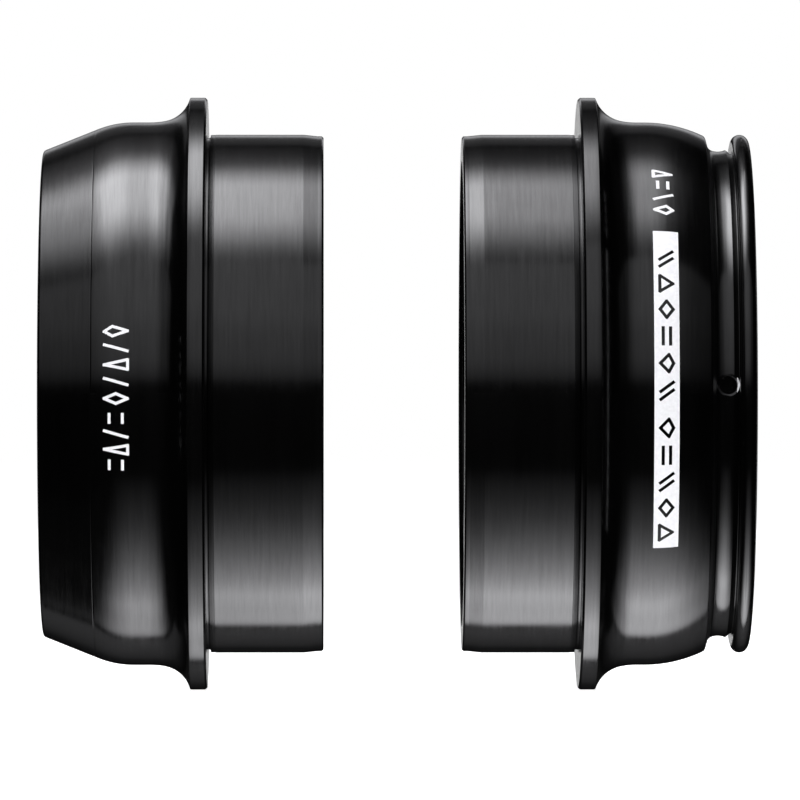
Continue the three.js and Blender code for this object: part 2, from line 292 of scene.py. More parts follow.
def neck(side):
    """The two corners of the neck, a tight fillet that runs out into the crest in a wide one."""
    fillet_r = NECK_FILLET_R[side]
    drop = FLANGE_R - CREST_R - RUN_OUT_R * (1 - math.cos(RUN_OUT))
    tip_turn = math.acos(math.cos(RUN_OUT) - drop / fillet_r)
    reach = fillet_r * math.tan((tip_turn - RUN_OUT) / 2)
    run_out_reach = RUN_OUT_R * math.tan(RUN_OUT / 2)
    tip = Vector((FLANGE_FACE_U + FLANGE_THICKNESS, FLANGE_R))
    middle = tip + reach * Vector((math.cos(tip_turn), -math.sin(tip_turn)))
    foot = middle + (reach + run_out_reach) * Vector((math.cos(RUN_OUT), -math.sin(RUN_OUT)))
    return [(middle.x, middle.y, fillet_r), (foot.x, CREST_R, RUN_OUT_R)]


def spigot_and_flange(side):
    relief_u = FLANGE_FACE_U - RELIEF_WIDTH
    relief_r = SPIGOT_R - RELIEF_DEPTH
    root_u = FLANGE_FACE_U - ROOT_WIDTH
    root_r = SPIGOT_R - ROOT_DEPTH
    lead_in_r = SPIGOT_R - LEAD_IN_DROP
    return [
        (SPIGOT_END_U, lead_in_r - SPIGOT_END_CHAMFER, FINE_EDGE_R),
        (SPIGOT_END_U + SPIGOT_END_CHAMFER, lead_in_r, EDGE_R),
        (SPIGOT_END_U + LEAD_IN_LAND, lead_in_r, LEAD_IN_FOOT_R),
        (SPIGOT_END_U + LEAD_IN_LENGTH, SPIGOT_R, LEAD_IN_TOP_R),
        (relief_u - RELIEF_DEPTH, SPIGOT_R, CRISP_EDGE_R),
        (relief_u, relief_r, CRISP_EDGE_R),
        (root_u, relief_r, FINE_EDGE_R),
        (root_u + ROOT_WALL_RUN, root_r, UNDERCUT_EDGE_R),
        (FLANGE_FACE_U, root_r, UNDERCUT_EDGE_R),
        (FLANGE_FACE_U, FLANGE_R - FLANGE_CHAMFER, EDGE_R),
        (FLANGE_FACE_U + FLANGE_CHAMFER, FLANGE_R, EDGE_R),
        (FLANGE_FACE_U + FLANGE_THICKNESS, FLANGE_R, FLANGE_RIM_R),
        *neck(side),
    ]


def cup_inside(end_u):
    """From the mouth over the bearing seat and its stop to the spigot's hollow."""
    stop_back_u = STOP_U - STOP_WIDTH
    return [
        (end_u, SEAT_R + MOUTH_CHAMFER, EDGE_R),
        (end_u - MOUTH_CHAMFER, SEAT_R, SOFT_EDGE_R),
        (STOP_U + STOP_RELIEF, SEAT_R, UNDERCUT_EDGE_R),
        (STOP_U + STOP_RELIEF, SEAT_R + STOP_RELIEF, UNDERCUT_EDGE_R),
        (STOP_U, SEAT_R + STOP_RELIEF, UNDERCUT_EDGE_R),
        (STOP_U, STOP_R, STOP_FRONT_EDGE_R),
        (stop_back_u, STOP_R, STOP_BACK_EDGE_R),
        (stop_back_u - (SPIGOT_BORE_R - STOP_R), SPIGOT_BORE_R, SPIGOT_BORE_FILLET_R),
        (SPIGOT_END_U + SPIGOT_BORE_CHAMFER, SPIGOT_BORE_R, SOFT_EDGE_R),
        (SPIGOT_END_U, SPIGOT_BORE_R + SPIGOT_BORE_CHAMFER, EDGE_R),
    ]


def left_cup_outline():
    shoulder_u = LEFT_CREST_END_U + LEFT_SHOULDER_R * math.tan(LEFT_TAPER / 2)
    end_r = CREST_R - math.tan(LEFT_TAPER) * (LEFT_END_U - shoulder_u)
    line_r = CREST_R - math.tan(LEFT_TAPER) * (TURNED_LINE_U - shoulder_u)
    half_width = TURNED_LINE_WIDTH / 2
    half_drop = math.tan(LEFT_TAPER) * half_width
    body = [
        (shoulder_u, CREST_R, LEFT_SHOULDER_R),
        (TURNED_LINE_U - half_width, line_r + half_drop, 0),
        (TURNED_LINE_U, line_r - TURNED_LINE_DEPTH, 0),
        (TURNED_LINE_U + half_width, line_r - half_drop, 0),
        (LEFT_END_U, end_r, LEFT_EDGE_R),
    ]
    return rounded(spigot_and_flange(LEFT) + body + cup_inside(LEFT_END_U))


def clip_groove(bead_u):
    """The clip groove: a sloping floor that curves up to a lip, and a narrow notch by the bead."""
    centre_r = GROOVE_FLOOR_R + GROOVE_ARC_R
    lip_slope = math.asin((GROOVE_LIP_U - GROOVE_FLOOR_U) / GROOVE_ARC_R)
    turn = lip_slope + GROOVE_FLOOR_SLOPE
    slopes = [-GROOVE_FLOOR_SLOPE + turn * k / GROOVE_ARC_STEPS for k in range(GROOVE_ARC_STEPS + 1)]
    arc = [
        (GROOVE_FLOOR_U + GROOVE_ARC_R * math.sin(a), centre_r - GROOVE_ARC_R * math.cos(a), 0)
        for a in slopes
    ]
    foot_r = arc[0][1] + math.tan(GROOVE_FLOOR_SLOPE) * (arc[0][0] - GROOVE_WALL_FOOT_U)
    return [
        (GROOVE_WALL_FOOT_U, foot_r, GROOVE_FOOT_FILLET_R),
        *arc,
        (bead_u, BEAD_SLOT_R, FINE_EDGE_R),
    ]


def right_cup_outline():
    shoulder_u = RIGHT_CREST_END_U + RIGHT_SHOULDER_R * math.tan(RIGHT_SHOULDER_TURN / 2)
    wall_top_r = CREST_R - math.tan(RIGHT_SHOULDER_TURN) * (GROOVE_WALL_TOP_U - shoulder_u)
    bead_u = RIGHT_END_U - 2 * BEAD_R
    body = [
        (shoulder_u, CREST_R, RIGHT_SHOULDER_R),
        (GROOVE_WALL_TOP_U, wall_top_r, GROOVE_WALL_TOP_EDGE_R),
        *clip_groove(bead_u),
        (bead_u, BEAD_CREST_R, BEAD_R),
        (RIGHT_END_U, BEAD_CREST_R, BEAD_R),
    ]
    return rounded(spigot_and_flange(RIGHT) + body + cup_inside(RIGHT_END_U))


# --- Mesh work ------------------------------------------------------------------------------------


def link(name, data):
    piece = bpy.data.objects.new(name, data)
    bpy.context.scene.collection.objects.link(piece)
    return piece


def mesh_from(name, vertices, faces):
    mesh = bpy.data.meshes.new(name)
    mesh.from_pydata([tuple(v) for v in vertices], [], faces)
    made = bmesh.new()
    made.from_mesh(mesh)
    bmesh.ops.recalc_face_normals(made, faces=made.faces)
    made.to_mesh(mesh)
    made.free()
    return mesh


def smooth(piece, sharp_deg=SHARP_DEG):
    """Smooth shading, with sharp edges where faces meet at more than sharp_deg."""
    piece.data.polygons.foreach_set("use_smooth", [True] * len(piece.data.polygons))
    piece.data.set_sharp_from_angle(angle=math.radians(sharp_deg))
    weighted = piece.modifiers.new("even shading", "WEIGHTED_NORMAL")
    weighted.keep_sharp = True
    weighted.weight = 60
    return piece


def round_axis(x, r, angle):
    """The point at x and radius r. Angle 0 faces the camera (-Y) and grows upwards."""
    return Vector((x, -r * math.cos(angle), r * math.sin(angle)))


def turned(name, outline, side, steps=TURNED_STEPS, wave=None):
    """Turns a closed (u, r) outline about the crank axis. wave(angle) shifts it along the axis."""
    count = len(outline)
    vertices = []
    for i in range(steps):
        angle = 2 * math.pi * i / steps
        shift = wave(angle) if wave else 0.0
        vertices += [round_axis(side * p.x + shift, p.y, angle) for p in outline]
    faces = []
    for i in range(steps):
        a, b = i * count, (i + 1) % steps * count
        for k in range(count):
            n = (k + 1) % count
            faces.append((a + k, a + n, b + n, b + k))
    return link(name, mesh_from(name, vertices, faces))


def apply_modifiers(piece):
    graph = bpy.context.evaluated_depsgraph_get()
    mesh = bpy.data.meshes.new_from_object(piece.evaluated_get(graph))
    piece.modifiers.clear()
    piece.data = mesh
    return piece


def cut(piece, cutters):
    """Cuts the cutters out of the piece and removes them."""
    for cutter in cutters:
        boolean = piece.modifiers.new("cut", "BOOLEAN")
        boolean.operation = "DIFFERENCE"
        boolean.solver = "EXACT"
        boolean.object = cutter
    apply_modifiers(piece)
    for cutter in cutters:
        bpy.data.objects.remove(cutter)
    return piece


def lofted(name, rings):
    """A closed solid through rings of equally many points, with a flat cap at both ends."""
    sides = len(rings[0])
    vertices = [point for ring in rings for point in ring]
    faces = []
    for level in range(len(rings) - 1):
        for k in range(sides):
            a, n = level * sides, (k + 1) % sides
            faces.append((a + k, a + n, a + sides + n, a + sides + k))
    faces.append(tuple(range(sides)))
    faces.append(tuple(range(len(vertices) - sides, len(vertices))))
    return link(name, mesh_from(name, vertices, faces))


def circle(centre, first, second, radius, sides):
    """Points of a circle about centre, in the plane of the unit vectors first and second."""
    angles = [2 * math.pi * k / sides for k in range(sides)]
    return [centre + (first * math.cos(a) + second * math.sin(a)) * radius for a in angles]


def flared_pin(x, degrees, outer_r):
    """A cutter for a cross hole, with a shallow countersink at the outer surface."""
    out = round_axis(0, 1, math.radians(degrees))
    across = AXIS.cross(out)
    stations = [
        (STOP_R, CROSS_HOLE_R),
        (outer_r - CROSS_HOLE_FLARE_DEPTH, CROSS_HOLE_R),
        (outer_r, CROSS_HOLE_MOUTH_R),
        (BEAD_CREST_R + CUTTER_MARGIN, CROSS_HOLE_MOUTH_R),
    ]
    rings = [circle(x * AXIS + out * height, AXIS, across, r, HOLE_SIDES) for height, r in stations]
    return lofted("hole_cutter", rings)


def ball_mesh(name, radius, subdivisions):
    mesh = bpy.data.meshes.new(name)
    made = bmesh.new()
    bmesh.ops.create_icosphere(made, subdivisions=subdivisions, radius=radius)
    made.to_mesh(mesh)
    made.free()
    return mesh


# --- Materials ------------------------------------------------------------------------------------


class Nodes:
    """A short way to write a node material."""

    def __init__(self, name):
        self.material = bpy.data.materials.new(name)
        self.material.use_nodes = True
        self.tree = self.material.node_tree
        self.shader = self.tree.nodes["Principled BSDF"]

    def connect(self, value, socket):
        """Links the socket to a value that is a socket too, or else sets the socket to it."""
        if isinstance(value, bpy.types.NodeSocket):
            self.tree.links.new(value, socket)
        else:
            socket.default_value = value

    def add(self, kind, inputs=None, **settings):
        node = self.tree.nodes.new(kind)
        for key, value in settings.items():
            setattr(node, key, value)
        for key, value in (inputs or {}).items():
            self.connect(value, node.inputs[key])
        return node

    def set(self, **sockets):
        """Sets the shader's sockets, with _ for the spaces in their names."""
        for key, value in sockets.items():
            self.connect(value, self.shader.inputs[key.replace("_", " ")])
        return self.material

    def math(self, operation, a, b=0.0):
        return self.add("ShaderNodeMath", {0: a, 1: b}, operation=operation).outputs[0]

    def sum(self, a, b):
        return self.math("ADD", a, b)

    def product(self, a, b):
        return self.math("MULTIPLY", a, b)

    def length(self, a, b):
        return self.math("SQRT", self.sum(self.product(a, a), self.product(b, b)))

    def place(self):
        """The point's place in the piece, which is its place in the CAD model's frame."""
        return self.add("ShaderNodeTexCoord").outputs["Object"]

    def place_xyz(self):
        return self.add("ShaderNodeSeparateXYZ", {0: self.place()}).outputs

    def turned_coordinates(self, along, around):
        """Coordinates for marks that run round the crank axis."""
        x, y, z = self.place_xyz()
        inputs = {
            0: self.product(x, along),
            1: self.product(self.length(y, z), along),
            2: self.product(self.math("ARCTAN2", z, y), around),
        }
        return self.add("ShaderNodeCombineXYZ", inputs).outputs[0]

    def noise(self, vector, scale=1.0, detail=2.0, roughness=0.5):
        inputs = {"Vector": vector, "Scale": scale, "Detail": detail, "Roughness": roughness}
        return self.add("ShaderNodeTexNoise", inputs).outputs["Fac"]

    def spread(self, value, low, high):
        """Maps a noise value to low to high."""
        inputs = {"Value": value, "From Min": 0.3, "From Max": 0.7, "To Min": low, "To Max": high}
        return self.add("ShaderNodeMapRange", inputs).outputs["Result"]

    def zone(self, value, low, high, blur=0.0):
        """1 between low and high and 0 outside, with ends that fade over blur."""
        step = 1e-7
        rise = {"Value": value, "From Min": low - blur, "From Max": low + step}
        fall = {"Value": value, "From Min": high + blur, "From Max": high - step}
        ends = [self.add("ShaderNodeMapRange", inputs).outputs["Result"] for inputs in (rise, fall)]
        return self.product(*ends)

    def bump(self, height, strength, distance):
        inputs = {"Height": height, "Strength": strength, "Distance": distance}
        return self.add("ShaderNodeBump", inputs).outputs["Normal"]

    def color_mix(self, factor, a, b):
        inputs = {"Factor": factor, 6: a, 7: b}
        return self.add("ShaderNodeMix", inputs, data_type="RGBA").outputs[2]


def grey(value):
    """A grey that leans slightly to blue."""
    return (value, value, value * 1.03, 1)


def painted_glint_mask(n):
    """1 on the mouth side of the front cross hole's countersink, on the camera's side, where a light grey
    is painted as a highlight, else 0.
    """
    x, y, z = n.place_xyz()
    hole = round_axis(CROSS_HOLE_U, GROOVE_FLOOR_R, math.radians(CROSS_HOLE_DEGREES[0]))
    along = n.math("SUBTRACT", x, hole.x)
    up = n.math("SUBTRACT", z, hole.z)
    inside = n.math("LESS_THAN", n.length(along, up), CROSS_HOLE_MOUTH_R + GLINT_PAINT_MARGIN)
    outboard = n.math("GREATER_THAN", along, GLINT_PAINT_FROM)
    front = n.math("LESS_THAN", y, 0.0)
    return n.product(n.product(inside, outboard), front)


def black_anodised():
    """Turned aluminium under a black oxide layer: fine rings, a satin sheen and faint mottling.

    The relief beside the flange, the foot of the neck fillet and the clip groove's wall are duller.
    """
    n = Nodes("black anodised aluminium")
    rings = n.noise(n.turned_coordinates(4200.0, 4.0), detail=3.0, roughness=0.7)
    bands = n.noise(n.turned_coordinates(900.0, 0.8))
    mottle = n.noise(n.place(), 420.0, 4.0, 0.6)
    x = n.place_xyz()[0]
    u = n.math("ABSOLUTE", x)
    relief = n.zone(u, *RELIEF_ZONE)
    fillet = n.zone(u, *FILLET_ZONE, FILLET_ZONE_BLUR)
    groove_wall = n.zone(x, GROOVE_WALL_TOP_U, GROOVE_WALL_FOOT_U, WALL_ZONE_BLUR)
    grain = n.sum(n.spread(rings, 0.14, 0.19), n.spread(mottle, -0.015, 0.02))
    dullness = n.sum(n.product(relief, 0.12), n.product(fillet, 0.24))
    dullness = n.sum(dullness, n.product(groove_wall, 0.3))
    lustre = n.sum(n.spread(rings, 0.44, 0.56), n.spread(mottle, -0.015, 0.015))
    black = n.color_mix(n.spread(bands, 0.0, 1.0), grey(0.0005), grey(0.001))
    return n.set(
        # The light grey on the front cross hole's countersink is a painted highlight.
        Base_Color=n.color_mix(painted_glint_mask(n), black, grey(0.85)),
        Roughness=n.sum(grain, n.product(groove_wall, 0.3)),
        IOR=1.62,
        Specular_IOR_Level=n.math("SUBTRACT", lustre, dullness),
        Anisotropic=0.45,
        Anisotropic_Rotation=0.25,
        Tangent=n.add("ShaderNodeTangent", direction_type="RADIAL", axis="X").outputs[0],
        Normal=n.bump(n.sum(rings, n.product(bands, 0.6)), 0.4, 0.007 * MM),
    )


def bearing_steel():
    n = Nodes("ground bearing steel")
    rings = n.noise(n.turned_coordinates(9000.0, 2.0), detail=3.0, roughness=0.7)
    smear = n.noise(n.place(), 260.0, 3.0)
    return n.set(
        Base_Color=n.color_mix(smear, (0.50, 0.505, 0.515, 1), (0.60, 0.605, 0.61, 1)),
        Metallic=1.0,
        Roughness=n.sum(n.spread(rings, 0.16, 0.26), n.spread(smear, 0.0, 0.08)),
        Normal=n.bump(rings, 0.2, 0.002 * MM),
    )


def ball_steel():
    n = Nodes("polished ball steel")
    haze = n.noise(n.place(), 900.0)
    return n.set(Base_Color=grey(0.68), Metallic=1.0, Roughness=n.spread(haze, 0.05, 0.09))


def spring_steel():
    n = Nodes("spring steel")
    drawn = n.noise(n.turned_coordinates(7000.0, 1.0), detail=3.0, roughness=0.7)
    stain = n.noise(n.place(), 500.0, 4.0, 0.6)
    return n.set(
        Base_Color=n.color_mix(stain, (0.27, 0.27, 0.28, 1), (0.40, 0.40, 0.41, 1)),
        Metallic=1.0,
        Roughness=n.spread(drawn, 0.24, 0.38),
        Normal=n.bump(drawn, 0.3, 0.003 * MM),
    )


def seal_rubber():
    n = Nodes("seal rubber")
    grain = n.noise(n.place(), 5200.0, 3.0, 0.6)
    bloom = n.noise(n.place(), 330.0, 3.0)
    return n.set(
        Base_Color=n.color_mix(bloom, grey(0.014), grey(0.026)),
        Roughness=n.spread(bloom, 0.48, 0.66),
        Normal=n.bump(grain, 0.35, 0.006 * MM),
    )


def cage_nylon():
    n = Nodes("cage nylon")
    fibre = n.noise(n.place(), 2600.0, 4.0, 0.7)
    return n.set(
        Base_Color=n.color_mix(fibre, (0.035, 0.036, 0.038, 1), (0.065, 0.066, 0.070, 1)),
        Roughness=n.spread(fibre, 0.42, 0.6),
        Normal=n.bump(fibre, 0.2, 0.006 * MM),
    )


def printed_ink():
    """Pad-printed white ink of slightly uneven thickness."""
    n = Nodes("white marking ink")
    thin = n.noise(n.place(), 3500.0, 4.0, 0.65)
    return n.set(
        Base_Color=n.color_mix(n.spread(thin, 0.0, 1.0), grey(0.80), grey(0.92)),
        Roughness=n.spread(thin, 0.5, 0.65),
        Normal=n.bump(thin, 0.2, 0.004 * MM),
    )


anodised = black_anodised()
steel = bearing_steel()
ball_finish = ball_steel()
spring = spring_steel()
rubber = seal_rubber()
nylon = cage_nylon()
ink = printed_ink()

# The wide cards at the ends light only the pieces whose slot is not one of the cups'.
CUP_SLOTS = ("cup_body", "marking_ink")
inner_pieces = bpy.data.collections.new("inner_pieces")


def finish_piece(piece, material, body, nodes, slot):
    """Gives a piece its material and its body, hides the CAD nodes that it replaces, and puts it among the
    inner pieces unless its slot is one of the cups'.
    """
    piece.data.materials.clear()
    piece.data.materials.append(material)
    if slot not in CUP_SLOTS:
        inner_pieces.objects.link(piece)
    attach(piece, body)
    if nodes:
        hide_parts(*nodes)
    return piece


# --- Cups -----------------------------------------------------------------------------------------


def left_cup(outline):
    cup = smooth(turned("cup_left", outline, LEFT), CUP_SHARP_DEG)
    return finish_piece(cup, anodised, "left_cup", ["left_cup"], "cup_body")


def right_cup(outline):
    cup = turned("cup_right", outline, RIGHT)
    mouth_r = radius_at(outline, CROSS_HOLE_U)
    cut(cup, [flared_pin(CROSS_HOLE_U, degrees, mouth_r) for degrees in CROSS_HOLE_DEGREES])
    smooth(cup, CUP_SHARP_DEG)
    return finish_piece(cup, anodised, "right_cup", ["right_cup"], "cup_body")


left_outline = left_cup_outline()
right_outline = right_cup_outline()
left_cup(left_outline)
right_cup(right_outline)


# --- Printed marks --------------------------------------------------------------------------------

# Plain geometric figures as strokes in a unit box, (round the cup, along the axis).
FIGURES = {
    "rhomb": [[(0.5, 0), (1, 0.5), (0.5, 1), (0, 0.5), (0.5, 0)]],
    "wedge": [[(0, 0), (1, 0), (0.5, 1), (0, 0)]],
    "kite": [[(0.5, 0), (1, 0.65), (0.5, 1), (0, 0.65), (0.5, 0)]],
    "slash": [[(0.15, 0), (0.85, 1)]],
    "slashes": [[(0, 0), (0.55, 1)], [(0.45, 0), (1, 1)]],
    "rungs": [[(0, 0.22), (1, 0.22)], [(0, 0.78), (1, 0.78)]],
}

# Rows of figures, each with the arc lengths in mm where it starts and ends.
LEFT_ROWS = [
    (["rhomb", "slash", "wedge", "slash", "kite"], -0.9, 5.5),
    (["rungs", "wedge", "slash", "rungs"], -6.2, -1.5),
]
PANEL_ROWS = [
    (["wedge", "rhomb", "slashes", "rungs", "kite"], -12.4, -1.9),
    (["slashes", "kite", "rungs", "rhomb", "wedge", "slashes"], -0.6, 12.0),
]
RIGHT_ROWS = [
    (["kite", "slash", "rungs", "wedge"], 15.5, 20.9),
]


def box_shape(first, last, low_u, high_u):
    return [Vector((first, low_u)), Vector((last, low_u)), Vector((last, high_u)), Vector((first, high_u))]


def stroke(points, width):
    """One rectangle for each straight run, with ends long enough to overlap at the bends."""
    rectangles = []
    for a, b in zip(points, points[1:]):
        along = (b - a).normalized() * width / 2
        across = Vector((-along.y, along.x))
        start = a - along * STROKE_OVERLAP
        end = b + along * STROKE_OVERLAP
        rectangles.append([start - across, end - across, end + across, start + across])
    return rectangles


def figure_rows(rows, low_u, high_u, width):
    """Strokes of rows of figures. FIGURE_SHARE of the pitch is figure and the rest is gap."""
    rectangles = []
    for names, first, last in rows:
        pitch = (last - first) * MM / (len(names) - (1 - FIGURE_SHARE))
        for i, name in enumerate(names):
            corner = Vector((first * MM + i * pitch + width / 2, low_u + width / 2))
            size = Vector((FIGURE_SHARE * pitch - width, high_u - low_u - width))
            for points in FIGURES[name]:
                placed = [corner + Vector((s * size.x, t * size.y)) for s, t in points]
                rectangles += stroke(placed, width)
    return rectangles


def inked_triangles(shapes, holes):
    """Points in (arc length, u), and triangles that fill the shapes less the holes in small cells."""
    points, edges, faces = [], [], []
    for polygon in [*shapes, *holes]:
        faces.append(list(range(len(points), len(points) + len(polygon))))
        points += polygon
    low = Vector((min(p.x for p in points), min(p.y for p in points)))
    high = Vector((max(p.x for p in points), max(p.y for p in points)))
    for axis in (0, 1):
        for k in range(1, math.ceil((high[axis] - low[axis]) / INK_CELL)):
            start, end = low.copy(), high.copy()
            start[axis] = end[axis] = low[axis] + k * INK_CELL
            edges.append((len(points), len(points) + 1))
            points += [start, end]
    flat, _, triangles, _, _, sources = delaunay_2d_cdt(points, edges, faces, 0, MERGE_DISTANCE)
    inked = [
        triangle
        for triangle, inside in zip(triangles, sources)
        if inside and max(inside) < len(shapes)
    ]
    return flat, inked


def printed(name, side, outline, shapes, holes=()):
    """An ink skin that follows a cup's outline: a top, a bottom sunk in the cup, and side walls."""
    flat, inked = inked_triangles(shapes, holes)
    used = sorted({i for triangle in inked for i in triangle})
    place = {i: k for k, i in enumerate(used)}
    vertices = []
    for height in (INK_HEIGHT, -INK_SINK):
        for i in used:
            radius = radius_at(outline, flat[i].y) + height
            vertices.append(round_axis(side * flat[i].y, radius, flat[i].x / CREST_R))
    count = len(used)
    skin = [tuple(place[i] for i in triangle) for triangle in inked]
    directed = {(t[k], t[(k + 1) % 3]) for t in skin for k in range(3)}
    walls = [(a, b, b + count, a + count) for a, b in directed if (b, a) not in directed]
    bottom = [tuple(i + count for i in reversed(t)) for t in skin]
    ink_piece = smooth(link(name, mesh_from(name, vertices, skin + bottom + walls)))
    return finish_piece(ink_piece, ink, f"{SIDE_NAMES[side]}_cup", [], "marking_ink")


left_marks = figure_rows(LEFT_ROWS, *LEFT_MARKS_U, LEFT_STROKE)
right_marks = figure_rows(RIGHT_ROWS, *RIGHT_MARKS_U, RIGHT_STROKE)
panel_holes = figure_rows(PANEL_ROWS, *PANEL_FIGURES_U, RIGHT_STROKE)
printed("marks_left", LEFT, left_outline, left_marks)
printed("panel_right", RIGHT, right_outline, [box_shape(*PANEL_ARC, *PANEL_U)], panel_holes)
printed("marks_right", RIGHT, right_outline, right_marks)


# --- Bearings -------------------------------------------------------------------------------------


def race_arc(land_r, side):
    """The raceway's arc between the lands. side is 1 for the outer ring and -1 for the inner."""
    race_v = math.sqrt(RACEWAY_R ** 2 - (land_r - PITCH_R) ** 2)
    first = math.atan2(abs(land_r - PITCH_R), race_v)
    angles = [first + (math.pi - 2 * first) * k / RACE_STEPS for k in range(RACE_STEPS + 1)]
    return [
        (side * RACEWAY_R * math.cos(a), PITCH_R + side * RACEWAY_R * math.sin(a), 0)
        for a in angles
    ]


def outer_ring_outline(half, outer_r):
    seat_v = half - SEAL_SEAT_DEPTH
    chamfer = RING_CHAMFER
    return rounded([
        (-half, outer_r - chamfer, chamfer / 2),
        (-half + chamfer, outer_r, chamfer / 2),
        (half - chamfer, outer_r, chamfer / 2),
        (half, outer_r - chamfer, chamfer / 2),
        (half, SEAL_SEAT_R, EDGE_R),
        (seat_v, SEAL_SEAT_R, EDGE_R),
        (seat_v, OUTER_LAND_R, EDGE_R),
        *race_arc(OUTER_LAND_R, 1),
        (-seat_v, OUTER_LAND_R, EDGE_R),
        (-seat_v, SEAL_SEAT_R, EDGE_R),
        (-half, SEAL_SEAT_R, EDGE_R),
    ])


def inner_ring_outline(half):
    step_v = half - INNER_STEP_LENGTH
    step_r = INNER_LAND_R - INNER_STEP_DEPTH
    chamfer = RING_CHAMFER
    return rounded([
        (-half, step_r, INNER_FACE_EDGE_R),
        (-step_v, step_r, EDGE_R),
        (-step_v, INNER_LAND_R, EDGE_R),
        *race_arc(INNER_LAND_R, -1),
        (step_v, INNER_LAND_R, EDGE_R),
        (step_v, step_r, EDGE_R),
        (half, step_r, INNER_FACE_EDGE_R),
        (half, BORE_R + chamfer, chamfer / 2),
        (half - chamfer, BORE_R, chamfer / 2),
        (-half + chamfer, BORE_R, chamfer / 2),
        (-half, BORE_R + chamfer, chamfer / 2),
    ])


def seal_outline(half):
    """A moulded seal: a bead that snaps into the outer ring, a ribbed face and a thin lip."""
    rim_r = SEAL_SEAT_R - SEAL_GAP
    rim_edge_r = 0.18 * MM
    bead_foot_r = rim_r - 0.55 * MM
    groove_outer_r = rim_r - 0.68 * MM
    groove_inner_r = rim_r - 1.35 * MM
    rib_r = rim_r - 1.5 * MM
    lip_root_r = SEAL_LIP_R + 0.5 * MM
    lip_root_edge_r = 0.15 * MM
    lip_back_r = SEAL_LIP_R + 0.4 * MM
    hollow_inner_r = SEAL_LIP_R + 0.6 * MM
    hollow_outer_r = rim_r - 0.5 * MM
    face_v = half - SEAL_RECESS
    groove_v = face_v - SEAL_GROOVE_DEPTH
    rib_v = face_v - 0.04 * MM
    lip_v = face_v - 0.3 * MM
    back_v = face_v - SEAL_THICKNESS
    hollow_v = back_v + 0.1 * MM
    return rounded([
        (back_v, rim_r, SEAL_RIB_R),
        (face_v, rim_r, rim_edge_r),
        (face_v, bead_foot_r, SOFT_EDGE_R),
        (groove_v, groove_outer_r, SOFT_EDGE_R),
        (groove_v, groove_inner_r, SEAL_RIB_R),
        (rib_v, rib_r, SEAL_RIB_R),
        (rib_v, lip_root_r, lip_root_edge_r),
        (lip_v, SEAL_LIP_R, UNDERCUT_EDGE_R),
        (back_v, SEAL_LIP_R, UNDERCUT_EDGE_R),
        (back_v, lip_back_r, SEAL_RIB_R),
        (hollow_v, hollow_inner_r, SEAL_RIB_R),
        (hollow_v, hollow_outer_r, SEAL_RIB_R),
    ])


def shifted(outline, along):
    return [Vector((p.x + along, p.y)) for p in outline]


def ring(name, outline, middle):
    """A smooth turned ring from an outline in (v, r), with its middle at x = middle."""
    return smooth(turned(name, shifted(outline, middle), RIGHT, RING_STEPS))


def ball_places(middle):
    return [round_axis(middle, PITCH_R, 2 * math.pi * i / BALL_COUNT) for i in range(BALL_COUNT)]


def cage(name, middle):
    """A crown cage: a ring with a round pocket for each ball, open on one side."""
    outline = rounded([
        (CAGE_FRONT_V, CAGE_OUTER_R, CAGE_FRONT_EDGE_R),
        (CAGE_BACK_V, CAGE_OUTER_R, CAGE_BACK_EDGE_R),
        (CAGE_BACK_V, CAGE_INNER_R, CAGE_BACK_EDGE_R),
        (CAGE_FRONT_V, CAGE_INNER_R, CAGE_FRONT_EDGE_R),
    ])
    blank = turned(name, shifted(outline, middle), RIGHT, CAGE_STEPS)
    pockets = []
    for place in ball_places(middle):
        pocket = link("pocket_cutter", ball_mesh("pocket_cutter", CAGE_POCKET_R, POCKET_SUBDIVISIONS))
        pocket.location = place
        pockets.append(pocket)
    bpy.context.view_layer.update()
    return smooth(cut(blank, pockets))


def ball(name, place):
    piece = link(name, ball_mesh(name, BALL_R, BALL_SUBDIVISIONS))
    piece.data.transform(Matrix.Translation(place))
    piece.data.polygons.foreach_set("use_smooth", [True] * len(piece.data.polygons))
    return piece


def bearing(side, housing_body):
    """Rings, seals, cage and balls of one bearing. housing_body carries the outer ring and seals."""
    name = SIDE_NAMES[side]
    node = f"{name}_bearing"
    low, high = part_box(f"{node}_outer_ring")
    middle = (low.x + high.x) / 2
    half = (high.x - low.x) / 2

    outer = ring(f"outer_ring_{name}", outer_ring_outline(half, high.z), middle)
    finish_piece(outer, steel, housing_body, [f"{node}_outer_ring"], "bearing_steel")

    inner = ring(f"inner_ring_{name}", inner_ring_outline(half), middle)
    finish_piece(inner, steel, f"{name}_inner_ring", [f"{node}_inner_ring"], "bearing_steel")

    for place, outward in (("outboard", side), ("inboard", -side)):
        outline = [Vector((outward * p.x, p.y)) for p in seal_outline(half)]
        seal = ring(f"seal_{name}_{place}", outline, middle)
        finish_piece(seal, rubber, housing_body, [f"{node}_{place}_seal"], "seal_rubber")

    cage_piece = cage(f"cage_{name}", middle)
    finish_piece(cage_piece, nylon, f"{name}_cage", [f"{node}_cage"], "cage_nylon")

    for number, place in enumerate(ball_places(middle), start=1):
        piece = ball(f"ball_{name}_{number:02d}", place)
        finish_piece(piece, ball_finish, f"{name}_cage", [f"{node}_ball_{number:02d}"], "ball_steel")


bearing(LEFT, "left_bearing")
bearing(RIGHT, "right_cup")


# --- Wave washer and retaining clip ---------------------------------------------------------------


def wave_washer():
    low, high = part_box("wave_washer")
    half = WASHER_THICKNESS / 2
    outline = rounded([
        (-half, WASHER_OUTER_R, WASHER_EDGE_R),
        (half, WASHER_OUTER_R, WASHER_EDGE_R),
        (half, WASHER_INNER_R, WASHER_EDGE_R),
        (-half, WASHER_INNER_R, WASHER_EDGE_R),
    ])

    def wave(angle):
        return -WASHER_WAVE * math.cos(WASHER_WAVES * angle)

    middle = (low.x + high.x) / 2
    return smooth(turned("wave_washer_strip", shifted(outline, middle), RIGHT, RING_STEPS, wave))


